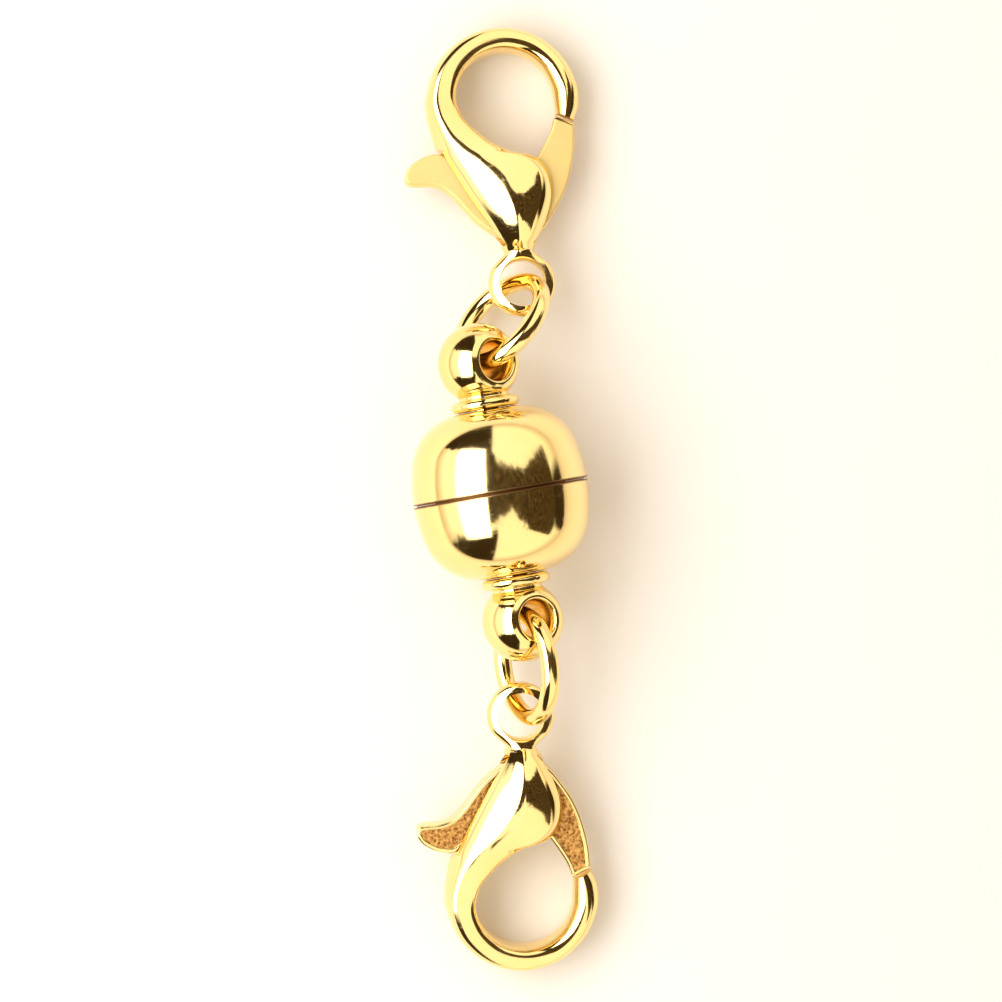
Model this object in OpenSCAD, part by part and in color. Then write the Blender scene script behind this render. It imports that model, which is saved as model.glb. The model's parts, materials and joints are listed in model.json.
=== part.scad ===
// Magnetic clasp lying on a table: two half barrels that hold magnets and meet at a seam,
// a drilled ball on each end, a jump ring in each ball and a lobster claw on each ring.
// The barrel's axis runs along Y, the claw with its hook at +Y is the upper one, and Z is up.

/* [Magnetic barrel] */
// Widest diameter of the barrel, at its seam
barrel_d = 8; // [7.6:0.1:9]
// Length of the barrel between the two collars
barrel_len = 7.6; // [7:0.1:9]
// Radius of the barrel's rounded shoulders
shoulder_r = 2.6; // [2.2:0.1:2.8]
// Radius of the long curve that the belt bulges with
belt_r = 7.2; // [6.4:0.1:12]
// Width of the seam between the two halves
seam_gap = 0.08; // [0.04:0.01:0.15]
// Thickness of the wall at each end of the barrel
end_wall = 0.7; // [0.5:0.05:0.9]

/* [Magnets] */
// Thickness of the barrel's wall round the magnets, at the seam
magnet_wall = 0.95; // [0.9:0.05:1.3]
// Thickness of a magnet disc
magnet_t = 2; // [1.6:0.1:2]
// How far the lower magnet stands out of its half
magnet_proud = 0.4; // [0.2:0.05:0.5]
// Gap between the faces of the two magnets
magnet_gap = 0.1; // [0.06:0.01:0.2]
// Gap round the proud magnet in the mouth of the upper half
mouth_play = 0.25; // [0.2:0.05:0.3]

/* [Ball ends] */
// Diameter of the drilled ball
ball_d = 3.7; // [3.4:0.1:4]
// Diameter of the collar that sits on the barrel
collar_d = 3.15; // [2.8:0.05:3.4]
// Height of the collar
collar_h = 0.5; // [0.3:0.05:0.8]
// Diameter of the neck between collar and ball
neck_d = 2.3; // [1.8:0.1:2.5]
// Length of the neck between collar and ball
neck_len = 0.15; // [0.1:0.05:0.6]
// Diameter of the stem that is riveted through the barrel's end
stem_d = 1.6; // [1.2:0.1:1.8]
// Diameter of the cross hole at the middle of the ball
bore_d = 1.5; // [1.4:0.05:1.7]
// Diameter of the cross hole's flared mouths
bore_mouth_d = 2.4; // [2.2:0.05:2.6]
// Angle at which the upper ball's hole rises from the table
bore_rise_upper = 52; // [48:1:56]
// Angle at which the lower ball's hole rises from the table
bore_rise_lower = 60; // [57:1:62]

/* [Jump rings] */
// Outside diameter of a jump ring
ring_d = 5.5; // [5.3:0.05:5.8]
// Diameter of the ring's round wire
wire_d = 0.82; // [0.7:0.02:0.86]
// Turn of the upper ring away from the barrel's axis, seen from above
ring_turn_upper = 38; // [35:1:41]
// Turn of the lower ring away from the barrel's axis, seen from above
ring_turn_lower = 11; // [9:1:13]
// Angle at which the upper ring's plane leans up from the table
ring_lean_upper = 56; // [53:1:59]
// Angle at which the lower ring's plane leans up from the table
ring_lean_lower = 62; // [60:1:64]
// How far the upper ring's middle lies off the line from ball to eye, towards its raised side
ring_shift_upper = 0; // [0:0.05:0.2]
// How far the lower ring's middle lies off the line from ball to eye, towards its raised side
ring_shift_lower = 0.45; // [0.35:0.05:0.55]

/* [Lobster claws] */
// Distance from the middle of the eye to the middle of the hook
claw_len = 8.3; // [7.6:0.05:9]
// Outside diameter of the round hook
hook_d = 7.15; // [6.7:0.05:7.6]
// Diameter of the opening in the hook
hook_hole_d = 4.4; // [4:0.1:4.6]
// Thickness of the claw at its belly
belly_t = 3.5; // [3:0.1:4]
// Outside diameter of the eye
eye_d = 3.1; // [3:0.05:3.25]
// Diameter of the hole in the eye
eye_hole_d = 2.05; // [1.95:0.05:2.1]
// Thickness of the eye
eye_t = 1; // [0.9:0.05:1.1]
// Thickness of the flat lever
lever_t = 1.1; // [0.9:0.05:1.3]
// Gap between the lever and each cheek of its slot
lever_play = 0.1; // [0.06:0.01:0.15]
// Gap between the lever's end and the hook's tip
tip_gap = 0.12; // [0.08:0.01:0.2]
// Angle that the lever swings to open the hook
lever_swing = 22; // [16:1:24]
// Diameter of the hidden pivot pin
pin_d = 0.8; // [0.6:0.05:1]

/* [Pose on the table] */
// Turn of the upper claw from the barrel's axis
claw_turn_upper = 4; // [0:1:8]
// Turn of the lower claw from the barrel's axis
claw_turn_lower = 9; // [2:1:12]
// Dip of the upper claw towards its hook
claw_dip_upper = 5; // [3:0.5:7]
// Dip of the lower claw towards its hook
claw_dip_lower = 8; // [7:0.5:9]
// Tilt of each claw that lifts its thumb side
claw_tilt = 4; // [3:0.5:5]

/* [Hidden] */
$fn = 96;
gold = [1, 0.78, 0.34];
steel = [0.62, 0.62, 0.64];
UPPER = 1;
LOWER = -1;

// Clearances between pieces that are glued, riveted or pinned together
seat_gap = 0.03;
glue_gap = 0.05;
rivet_gap = 0.05;
pin_seat = 0.02;
pin_play = 0.03;
// How far a cut runs past the face that it opens
over = 1;

// Barrel: the shoulder's arc touches the belt's arc from inside
barrel_r = barrel_d / 2;
half_len = barrel_len / 2;
shoulder_y = half_len - shoulder_r;
shoulder_x = barrel_r - belt_r + sqrt(pow(belt_r - shoulder_r, 2) - pow(shoulder_y, 2));
belt_y = shoulder_y * belt_r / (belt_r - shoulder_r);
seam_y = seam_gap / 2;

// Outline of a half barrel: up the belt's arc from the seam, then round the shoulder to the end
belt_steps = 6;
shoulder_steps = 20;
seam_angle = asin(seam_y / belt_r);
touch_angle = asin(belt_y / belt_r);
half_outline = concat(
    [[0, seam_y]],
    [for (k = [0:belt_steps - 1])
        around([barrel_r - belt_r, 0], belt_r, seam_angle + k / belt_steps * (touch_angle - seam_angle))],
    [for (k = [0:shoulder_steps])
        around([shoulder_x, shoulder_y], shoulder_r, touch_angle + k / shoulder_steps * (90 - touch_angle))],
    [[0, half_len]]);

// Pockets for the magnets
pocket_r = barrel_r - magnet_wall;
magnet_r = pocket_r - glue_gap;
mouth_r = magnet_r + mouth_play;
mouth_depth = magnet_proud + magnet_gap - seam_gap;
upper_magnet_y = seam_y + mouth_depth;
lower_magnet_y = seam_y - magnet_proud;

// Ball post, measured from the middle of the barrel along its axis
stem_r = stem_d / 2;
rivet_lip = 0.45;
rivet_h = 0.35;
rivet_room = 0.3;
rivet_r = stem_r + rivet_lip;
rear_r = rivet_r + rivet_room;
rear_end = half_len - end_wall;
collar_y = half_len + seat_gap;
neck_y = collar_y + collar_h;
ball_r = ball_d / 2;
ball_y = neck_y + neck_len + sqrt(pow(ball_r, 2) - pow(neck_d / 2, 2));
bore_r = bore_d / 2;
mouth_flare = bore_mouth_d / 2 - bore_r;
mouth_reach = sqrt(pow(ball_r, 2) - pow(bore_mouth_d / 2, 2));
straight_share = 0.45;
flare_start = straight_share * mouth_reach;

// Jump rings: where the wire's middle lies in the ball and in the eye
ring_mean_r = (ring_d - wire_d) / 2;
wire_r = wire_d / 2;
wire_in_ball_upper = 0.04;
wire_in_ball_lower = -0.3;
wire_in_eye_upper = 0.1;
wire_in_eye_lower = -0.22;

// Claw, in its own frame: X towards the gate, Y towards the hook, Z off the polished face
hook_r = hook_d / 2;
hole_r = hook_hole_d / 2;
eye_r = eye_d / 2;
eye_hole_r = eye_hole_d / 2;
flare_share = 0.4;
eye_flare = flare_share * (eye_r - eye_hole_r);
slot_half = lever_t / 2 + lever_play;
hook_mid = [-0.014 * hook_r, claw_len];
hole_mid = [0.023 * hole_r, claw_len + 0.09 * hole_r];
pivot = [0.04 * hook_r, 0.34 * claw_len];
pin_share = 0.72;
pin_half = pin_share * belly_t / 2;

// Sections of the eye and the neck, from the eye's far end towards the belly.
// Columns: angle round the eye from its far end, half thickness as a share of half of eye_t.
EYE_ROWS = [
    [10, 0.5],
    [30, 0.88],
    [55, 1],
    [85, 1.04],
    [118, 1.12],
    [152, 1.36]];

// Sections of the body, from above the neck to the belly's corner at the opening.
// Columns: outer edge across and along, inner edge across and along, half thickness, flatness.
// Shares of hook_r across, of claw_len along and of half of belly_t. The flatness, here and in
// HOOK_ROWS, goes from nought, a section with a ridge, to 1, a section with a flat top.
BODY_ROWS = [
    [-0.2, 0.19, 0.21, 0.19, 0.47, 0],
    [-0.275, 0.25, 0.3, 0.25, 0.68, 0],
    [-0.425, 0.36, 0.435, 0.355, 0.92, 0],
    [-0.585, 0.475, 0.525, 0.46, 1, 0.1],
    [-0.71, 0.575, 0.53, 0.555, 0.98, 0.25],
    [-0.805, 0.655, 0.47, 0.63, 0.93, 0.45]];

// Sections of the arm and the hook round to its tip, as angles seen from the middles.
// Columns: outer angle and share of hook_r, inner angle and share of hole_r,
// half thickness as a share of half of belly_t, flatness.
HOOK_ROWS = [
    [216.5, 1.08, 293, 1.385, 0.86, 0.6],
    [208, 1.04, 276, 1.17, 0.8, 0.8],
    [200, 1.015, 252, 0.985, 0.76, 0.95],
    [191.5, 1, 224, 0.9, 0.73, 1],
    [183, 1, 198, 0.95, 0.71, 1],
    [170, 1, 172, 1, 0.7, 1],
    [145, 1, 146, 1, 0.68, 1],
    [118, 1, 118, 1, 0.66, 0.95],
    [90, 1, 90, 1, 0.64, 0.85],
    [62, 1, 62, 1, 0.61, 0.65],
    [36, 1, 36, 1, 0.58, 0.45],
    [12, 1, 10, 1, 0.55, 0.3],
    [-6, 0.98, -8, 1.02, 0.53, 0.2],
    [-19, 0.94, -21.5, 1.1, 0.5, 0.2]];

// Half of a section from its outer to its inner edge, where it meets the middle plane. Columns:
// share of the half width across, share of the half thickness up with a ridge and with a flat top.
SECTION_ROWS = [
    [-1, 0, 0],
    [-0.965, 0.2, 0.24],
    [-0.9, 0.4, 0.47],
    [-0.8, 0.56, 0.68],
    [-0.68, 0.67, 0.85],
    [-0.54, 0.765, 0.945],
    [-0.38, 0.86, 0.985],
    [-0.2, 0.945, 1],
    [0, 1, 1],
    [0.15, 0.985, 1],
    [0.35, 0.93, 0.995],
    [0.55, 0.84, 0.97],
    [0.72, 0.72, 0.91],
    [0.85, 0.57, 0.78],
    [0.93, 0.41, 0.58],
    [0.98, 0.21, 0.3],
    [1, 0, 0]];

// Outline of the flat lever from the gate's outer edge round its lobe and thumb tab
// to the gate's inner edge. Columns: share of hook_r across, share of claw_len along.
LEVER_ROWS = [
    [0.845, 0.755],
    [0.8, 0.655],
    [0.73, 0.555],
    [0.63, 0.46],
    [0.5, 0.375],
    [0.325, 0.285],
    [0.07, 0.231],
    [-0.17, 0.26],
    [-0.34, 0.3],
    [-0.5, 0.36],
    [-0.63, 0.43],
    [-0.76, 0.505],
    [-0.9, 0.562],
    [-1.06, 0.588],
    [-1.21, 0.592],
    [-1.325, 0.603],
    [-1.36, 0.642],
    [-1.3, 0.69],
    [-1.195, 0.722],
    [-1.05, 0.745],
    [-0.885, 0.747],
    [-0.715, 0.7],
    [-0.485, 0.63],
    [-0.255, 0.583],
    [-0.03, 0.563],
    [0.13, 0.586],
    [0.243, 0.63],
    [0.363, 0.692],
    [0.47, 0.76],
    [0.565, 0.83]];

// Smooth curve through the middle pair of four points, at share t of the way
function between(a, b, c, d, t) =
    0.5 * (2 * b + (c - a) * t + (2 * a - 5 * b + 4 * c - d) * t * t
        + (3 * b - a - 3 * c + d) * t * t * t);
// Smooth open curve through all rows of a list, with steps parts between neighbours
function smooth(rows, steps) =
    let (last = len(rows) - 1)
    [for (k = [0:last * steps])
        let (i = min(floor(k / steps), last - 1), t = k / steps - i)
        between(rows[max(i - 1, 0)], rows[i], rows[i + 1], rows[min(i + 2, last)], t)];
function around(middle, radius, angle) = middle + radius * [cos(angle), sin(angle)];
function unit(v) = v / norm(v);

// Rows of the whole claw as [outer x, outer y, inner x, inner y, half thickness, flatness]
function eye_row(r) =
    [-eye_r * sin(r[0]), -eye_r * cos(r[0]), eye_r * sin(r[0]), -eye_r * cos(r[0]), r[1] * eye_t / 2, 0.3];
function body_row(r) =
    [r[0] * hook_r, r[1] * claw_len, r[2] * hook_r, r[3] * claw_len, r[4] * belly_t / 2, r[5]];
function hook_row(r) =
    let (a = around(hook_mid, r[1] * hook_r, r[0]), b = around(hole_mid, r[3] * hole_r, r[2]))
    [a[0], a[1], b[0], b[1], r[4] * belly_t / 2, r[5]];
claw_rows = concat([for (r = EYE_ROWS) eye_row(r)], [for (r = BODY_ROWS) body_row(r)],
    [for (r = HOOK_ROWS) hook_row(r)]);
claw_sections = smooth(claw_rows, 2);

// Ring of points of one section: the upper half, then the lower half back again
section_loop = concat(SECTION_ROWS,
    [for (k = [len(SECTION_ROWS) - 2:-1:1]) [SECTION_ROWS[k][0], -SECTION_ROWS[k][1], -SECTION_ROWS[k][2]]]);
function section_point(s, q) =
    let (outer = [s[0], s[1]], inner = [s[2], s[3]], p = (outer + inner + q[0] * (inner - outer)) / 2)
    [p[0], p[1], (q[1] + s[5] * (q[2] - q[1])) * s[4]];
claw_points = [for (s = claw_sections) for (q = section_loop) section_point(s, q)];

// The gate ends on a face that follows the swing of the hook's tip about the pivot
tip_row = claw_rows[len(claw_rows) - 1];
tip_outer = [tip_row[0], tip_row[1]];
tip_inner = [tip_row[2], tip_row[3]];
tip_side = unit([tip_inner[1] - tip_outer[1], tip_outer[0] - tip_inner[0]]);
gate_outer = tip_outer - tip_gap * tip_side;
gate_inner = tip_inner - tip_gap * tip_side;
lever_points = smooth(concat([gate_outer], [for (r = LEVER_ROWS) [r[0] * hook_r, r[1] * claw_len]],
    [gate_inner]), 3);

// Slot through the body's middle: it clears the closed lever and the lever swung open
slot_floor = 0.21 * claw_len;
slot_room = 0.6;
function swung(p) =
    let (d = p - pivot)
    pivot + [d[0] * cos(lever_swing) - d[1] * sin(lever_swing), d[0] * sin(lever_swing) + d[1] * cos(lever_swing)];
tab_row = 12;
tab_back = LEVER_ROWS[tab_row];
opened_tab = swung([tab_back[0] * hook_r, tab_back[1] * claw_len]);
slot_points = [
    [-1.35 * hook_r, 0.88 * claw_len],
    [-1.02 * hook_r, 0.804 * claw_len],
    [-0.18 * hook_r, 0.612 * claw_len],
    [-0.03 * hook_r, 0.765 * claw_len],
    [0.45 * hook_r, 0.8 * claw_len],
    [0.75 * hook_r, 0.6 * claw_len],
    [0.72 * hook_r, 0.33 * claw_len],
    [0.36 * hook_r, 0.272 * claw_len],
    [0.2 * hook_r, slot_floor],
    [-0.45 * hook_r, slot_floor],
    opened_tab - [slot_room, slot_room]];

// Place of each claw: it rests on the table by its lowest point
function turn_x(p, a) = [p[0], p[1] * cos(a) - p[2] * sin(a), p[1] * sin(a) + p[2] * cos(a)];
function turn_y(p, a) = [p[0] * cos(a) + p[2] * sin(a), p[1], p[2] * cos(a) - p[0] * sin(a)];
function turn_z(p, a) = [p[0] * cos(a) - p[1] * sin(a), p[0] * sin(a) + p[1] * cos(a), p[2]];
function claw_turn(side) = side == UPPER ? claw_turn_upper : claw_turn_lower;
function claw_dip(side) = side == UPPER ? claw_dip_upper : claw_dip_lower;
function flipped(p, side) = side == UPPER ? p : [p[0], -p[1], -p[2]];
function turned(p, side) =
    turn_z(turn_x(turn_y(flipped(p, side), claw_tilt), -side * claw_dip(side)), -claw_turn(side));
lift_upper = -min([for (p = claw_points) turned(p, UPPER)[2]]);
lift_lower = -min([for (p = claw_points) turned(p, LOWER)[2]]);
function lift(side) = side == UPPER ? lift_upper : lift_lower;

// Jump ring: from the middle of the ball towards the eye, and across its wire in the ball
function ball_mid(side) = [0, side * ball_y, barrel_r];
function ring_turn(side) = side == UPPER ? ring_turn_upper : ring_turn_lower;
function ring_lean(side) = side == UPPER ? ring_lean_upper : ring_lean_lower;
function wire_in_ball(side) = side == UPPER ? wire_in_ball_upper : wire_in_ball_lower;
function wire_in_eye(side) = side == UPPER ? wire_in_eye_upper : wire_in_eye_lower;
function ring_shift(side) = side == UPPER ? ring_shift_upper : ring_shift_lower;
function half_chord(side) = sqrt(pow(ring_mean_r, 2) - pow(ring_shift(side), 2));
function reach(side) = 2 * half_chord(side) + wire_in_ball(side) - wire_in_eye(side);
function drop(side) = barrel_r - lift(side);
function run(side) = sqrt(pow(reach(side), 2) - pow(drop(side), 2));
function eye_step(side) =
    [side * run(side) * sin(ring_turn(side)), side * run(side) * cos(ring_turn(side)), -drop(side)];
function eye_mid(side) = ball_mid(side) + eye_step(side);
function ring_level(side) = unit([side * eye_step(side)[1], -side * eye_step(side)[0], 0]);
function ring_across(side) =
    let (d = unit(eye_step(side)), e = ring_level(side), f = side * cross(d, e))
    cos(ring_lean(side)) * e + sin(ring_lean(side)) * (f[2] < 0 ? -f : f);
function ring_axis(side) = unit(cross(unit(eye_step(side)), ring_across(side)));
function ring_mid(side) =
    ball_mid(side) + (half_chord(side) + wire_in_ball(side)) * unit(eye_step(side))
    + ring_shift(side) * ring_across(side);

// Origin: middle of the whole clasp's box, on the table
eye_upper = eye_mid(UPPER);
eye_lower = eye_mid(LOWER);
function posed(p, side) = turned(p, side) + (side == UPPER ? eye_upper : eye_lower);
lever_corners = [for (p = lever_points) for (z = [-lever_t / 2, lever_t / 2]) [p[0], p[1], z]];
far_points = concat(
    [for (side = [LOWER, UPPER]) for (p = claw_points) posed(p, side)],
    [for (side = [LOWER, UPPER]) for (p = lever_corners) posed(p, side)],
    [[-barrel_r, 0, 0], [barrel_r, 0, 0]]);
far_x = [for (p = far_points) p[0]];
far_y = [for (p = far_points) p[1]];
shift = [-(min(far_x) + max(far_x)) / 2, -(min(far_y) + max(far_y)) / 2, 0];

// Puts what is modelled round Z, away from the seam, on the barrel's axis
module on_axis(side) translate(shift + [0, 0, barrel_r]) rotate([-side * 90, 0, 0]) children();

module on_claw(side)
    translate(shift + eye_mid(side))
    rotate([0, 0, -claw_turn(side)])
    rotate([-side * claw_dip(side), 0, 0])
    rotate([0, claw_tilt, 0])
    rotate([side == UPPER ? 0 : 180, 0, 0])
    children();

// Half barrel, hollow behind its magnet, with a hole for the ball post's stem
module half_shell(mouth, pocket_end) {
    color(gold)
    difference() {
        rotate_extrude() polygon(half_outline);
        translate([0, 0, seam_y - over]) cylinder(h = pocket_end - seam_y + over, r = pocket_r);
        if (mouth > 0)
            translate([0, 0, seam_y - over]) cylinder(h = mouth + over, r = mouth_r);
        cylinder(h = rear_end, r = rear_r);
        cylinder(h = half_len + over, r = stem_r + rivet_gap);
    }
}

module magnet(start) {
    color(steel)
    translate([0, 0, start]) cylinder(h = magnet_t, r = magnet_r);
}

// Disc with a round edge
module collar() {
    rotate_extrude() {
        square([collar_d / 2 - collar_h / 2, collar_h]);
        translate([collar_d / 2 - collar_h / 2, collar_h / 2]) circle(d = collar_h);
    }
}

// Cross hole of the ball: a bore whose two mouths flare
module cross_hole() {
    cylinder(h = ball_d + over, r = bore_r, center = true);
    for (end = [0, 180])
        rotate([end, 0, 0])
        translate([0, 0, flare_start])
        cylinder(h = ball_r, r1 = bore_r, r2 = bore_r + mouth_flare * ball_r / (mouth_reach - flare_start));
}

// Ball, neck, collar, stem and rivet head in one piece
module ball_post(side, bore_rise) {
    color(gold)
    difference() {
        union() {
            translate([0, 0, ball_y]) sphere(r = ball_r);
            translate([0, 0, neck_y - collar_h / 2])
                cylinder(h = ball_y - neck_y + collar_h / 2, d = neck_d);
            translate([0, 0, collar_y]) collar();
            translate([0, 0, rear_end - seat_gap - rivet_h])
                cylinder(h = collar_y + collar_h / 2 - rear_end + seat_gap + rivet_h, r = stem_r);
            translate([0, 0, rear_end - seat_gap - rivet_h]) cylinder(h = rivet_h, r = rivet_r);
        }
        translate([0, 0, ball_y]) rotate([0, 0, -side * bore_rise]) rotate([0, 90, 0]) cross_hole();
    }
}

module jump_ring(side) {
    axis = ring_axis(side);
    color(gold)
    translate(shift + ring_mid(side))
    rotate([0, acos(axis[2]), atan2(axis[1], axis[0])])
    rotate_extrude()
    translate([ring_mean_r, 0]) circle(r = wire_r);
}

// Solid through all the claw's sections, closed by a flat face at the eye's end and at the tip
module claw_sweep() {
    per = len(section_loop);
    last = len(claw_sections) - 1;
    walls = [for (i = [0:last - 1]) for (k = [0:per - 1])
        let (a = i * per + k, b = i * per + (k + 1) % per)
        each [[a, b, b + per], [a, b + per, a + per]]];
    eye_face = [for (k = [per - 1:-1:0]) k];
    tip_face = [for (k = [0:per - 1]) last * per + k];
    polyhedron(points = claw_points, faces = concat(walls, [eye_face], [tip_face]), convexity = 6);
}

// Hole of the eye, a bore whose two mouths flare
module eye_hole() {
    cylinder(h = eye_t + 2 * over, r = eye_hole_r, center = true);
    for (end = [0, 180])
        rotate([end, 0, 0])
        translate([0, 0, eye_t / 2 - eye_flare])
        cylinder(h = eye_t, r1 = eye_hole_r, r2 = eye_hole_r + eye_t);
}

module claw_body() {
    color(gold)
    difference() {
        claw_sweep();
        eye_hole();
        translate([0, 0, -slot_half]) linear_extrude(height = 2 * slot_half) polygon(slot_points);
        translate([pivot[0], pivot[1], -pin_half - pin_seat])
            cylinder(h = 2 * (pin_half + pin_seat), d = pin_d + 2 * pin_seat);
    }
}

// Flat lever: gate, arm in the slot and thumb tab in one plate
module lever() {
    color(gold)
    difference() {
        translate([0, 0, -lever_t / 2]) linear_extrude(height = lever_t) polygon(lever_points);
        translate([pivot[0], pivot[1], -lever_t / 2 - over])
            cylinder(h = lever_t + 2 * over, d = pin_d + 2 * pin_play);
    }
}

module pivot_pin() {
    color(steel)
    translate([pivot[0], pivot[1], -pin_half]) cylinder(h = 2 * pin_half, d = pin_d);
}

module shell_upper() on_axis(UPPER) half_shell(mouth_depth, upper_magnet_y + magnet_t + seat_gap);
module magnet_upper() on_axis(UPPER) magnet(upper_magnet_y);
module ball_post_upper() on_axis(UPPER) ball_post(UPPER, bore_rise_upper);
module jump_ring_upper() jump_ring(UPPER);
module lobster_body_upper() on_claw(UPPER) claw_body();
module trigger_upper() on_claw(UPPER) lever();
module pivot_pin_upper() on_claw(UPPER) pivot_pin();
module shell_lower() on_axis(LOWER) half_shell(0, lower_magnet_y + magnet_t + seat_gap);
module magnet_lower() on_axis(LOWER) magnet(lower_magnet_y);
module ball_post_lower() on_axis(LOWER) ball_post(LOWER, bore_rise_lower);
module jump_ring_lower() jump_ring(LOWER);
module lobster_body_lower() on_claw(LOWER) claw_body();
module trigger_lower() on_claw(LOWER) lever();
module pivot_pin_lower() on_claw(LOWER) pivot_pin();

shell_upper();
magnet_upper();
ball_post_upper();
jump_ring_upper();
lobster_body_upper();
trigger_upper();
pivot_pin_upper();
shell_lower();
magnet_lower();
ball_post_lower();
jump_ring_lower();
lobster_body_lower();
trigger_lower();
pivot_pin_lower();
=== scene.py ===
"""Looks of the magnetic clasp: smooth gold-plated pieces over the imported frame, and the studio round it."""

import json

import bpy
import numpy as np
from mathutils import Matrix, Vector


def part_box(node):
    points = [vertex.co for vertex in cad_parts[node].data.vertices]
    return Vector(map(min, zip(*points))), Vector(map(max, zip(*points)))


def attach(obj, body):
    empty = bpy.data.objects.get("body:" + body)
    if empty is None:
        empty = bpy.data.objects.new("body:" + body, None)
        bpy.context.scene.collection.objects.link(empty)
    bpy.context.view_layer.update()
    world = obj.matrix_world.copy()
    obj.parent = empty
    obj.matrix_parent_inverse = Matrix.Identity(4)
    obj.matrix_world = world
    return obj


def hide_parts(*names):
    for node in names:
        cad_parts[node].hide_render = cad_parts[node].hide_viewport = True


bl_info = {
    "name": "Magnetic clasp",
    "version": (1, 0, 0),
    "blender": (4, 5, 0),
    "location": "View3D > Sidebar > Clasp",
    "description": "Builds the gold-plated pieces of a magnetic clasp and its studio",
    "category": "Object",
}

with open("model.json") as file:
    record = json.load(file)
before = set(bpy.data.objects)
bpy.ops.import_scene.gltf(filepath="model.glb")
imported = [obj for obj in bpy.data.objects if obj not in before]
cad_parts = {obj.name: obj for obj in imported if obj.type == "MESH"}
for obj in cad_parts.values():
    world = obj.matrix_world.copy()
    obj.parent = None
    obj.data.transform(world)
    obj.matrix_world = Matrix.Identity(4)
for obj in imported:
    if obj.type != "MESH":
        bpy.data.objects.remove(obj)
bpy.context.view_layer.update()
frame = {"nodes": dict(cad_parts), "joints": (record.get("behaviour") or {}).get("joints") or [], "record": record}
MM = 0.001
# Gap between two pieces of metal that sit together
SEAT = 0.03 * MM
UPPER, LOWER = 1, -1
SIDES = {UPPER: "upper", LOWER: "lower"}

# Sections of the claw's eye and neck, from the eye's far end towards the belly.
# Columns: angle round the eye in degrees, half thickness as a share of the eye's half thickness.
EYE_ROWS = np.array([
    [10, 0.5],
    [30, 0.88],
    [55, 1],
    [85, 1.04],
    [118, 1.12],
    [152, 1.36]])
EYE_FLATNESS = 0.3

# Sections of the claw's body. Columns: outer edge across and along, inner edge across and along,
# half thickness, flatness; shares of the hook's radius, the claw's length and half of the belly's
# thickness. Flatness goes from nought, a section with a ridge, to 1, a section with a flat top.
BODY_ROWS = np.array([
    [-0.2, 0.19, 0.21, 0.19, 0.47, 0],
    [-0.275, 0.25, 0.3, 0.25, 0.68, 0],
    [-0.425, 0.36, 0.435, 0.355, 0.92, 0],
    [-0.585, 0.475, 0.525, 0.46, 1, 0.1],
    [-0.71, 0.575, 0.53, 0.555, 0.98, 0.25],
    [-0.805, 0.655, 0.47, 0.63, 0.93, 0.45]])

# Sections of the arm and hook as angles seen from the middles. Columns: outer angle and share of
# the hook's radius, inner angle and share of the opening's radius, share of the half thickness,
# flatness.
HOOK_ROWS = np.array([
    [216.5, 1.08, 293, 1.385, 0.86, 0.6],
    [208, 1.04, 276, 1.17, 0.8, 0.8],
    [200, 1.015, 252, 0.985, 0.76, 0.95],
    [191.5, 1, 224, 0.9, 0.73, 1],
    [183, 1, 198, 0.95, 0.71, 1],
    [170, 1, 172, 1, 0.7, 1],
    [145, 1, 146, 1, 0.68, 1],
    [118, 1, 118, 1, 0.66, 0.95],
    [90, 1, 90, 1, 0.64, 0.85],
    [62, 1, 62, 1, 0.61, 0.65],
    [36, 1, 36, 1, 0.58, 0.45],
    [12, 1, 10, 1, 0.55, 0.3],
    [-6, 0.98, -8, 1.02, 0.53, 0.2],
    [-19, 0.94, -21.5, 1.1, 0.5, 0.2]])

# Half of a section from its outer to its inner edge. Columns: share across, share up with a ridge
# and share up with a flat top.
SECTION_ROWS = np.array([
    [-1, 0, 0],
    [-0.965, 0.2, 0.24],
    [-0.9, 0.4, 0.47],
    [-0.8, 0.56, 0.68],
    [-0.68, 0.67, 0.85],
    [-0.54, 0.765, 0.945],
    [-0.38, 0.86, 0.985],
    [-0.2, 0.945, 1],
    [0, 1, 1],
    [0.15, 0.985, 1],
    [0.35, 0.93, 0.995],
    [0.55, 0.84, 0.97],
    [0.72, 0.72, 0.91],
    [0.85, 0.57, 0.78],
    [0.93, 0.41, 0.58],
    [0.98, 0.21, 0.3],
    [1, 0, 0]])

# Outline of the lever from the gate's outer edge round the lobe and thumb tab to its inner edge.
# Columns: share of the hook's radius across, share of the claw's length along.
LEVER_ROWS = np.array([
    [0.845, 0.755], [0.8, 0.655], [0.73, 0.555], [0.63, 0.46],
    [0.5, 0.375], [0.325, 0.285], [0.07, 0.231], [-0.17, 0.26],
    [-0.34, 0.3], [-0.5, 0.36], [-0.63, 0.43], [-0.76, 0.505],
    [-0.9, 0.562], [-1.06, 0.588], [-1.21, 0.592], [-1.325, 0.603],
    [-1.36, 0.642], [-1.3, 0.69], [-1.195, 0.722], [-1.05, 0.745],
    [-0.885, 0.747], [-0.715, 0.7], [-0.485, 0.63], [-0.255, 0.583],
    [-0.03, 0.563], [0.13, 0.586], [0.243, 0.63], [0.363, 0.692],
    [0.47, 0.76], [0.565, 0.83]])

# Outline of the lever's slot in the claw's body, in the same shares
SLOT_ROWS = np.array([
    [-1.35, 0.88], [-1.02, 0.804], [-0.18, 0.612], [-0.03, 0.765],
    [0.45, 0.8], [0.75, 0.6], [0.72, 0.33], [0.36, 0.272],
    [0.2, 0.21], [-0.45, 0.21], [-1.192, 0.322]])


def length(name, default, description):
    """A length in metres, given here in millimetres."""
    return bpy.props.FloatProperty(name=name, description=description, default=default * MM,
                                   precision=5, unit="LENGTH", subtype="DISTANCE")


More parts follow.
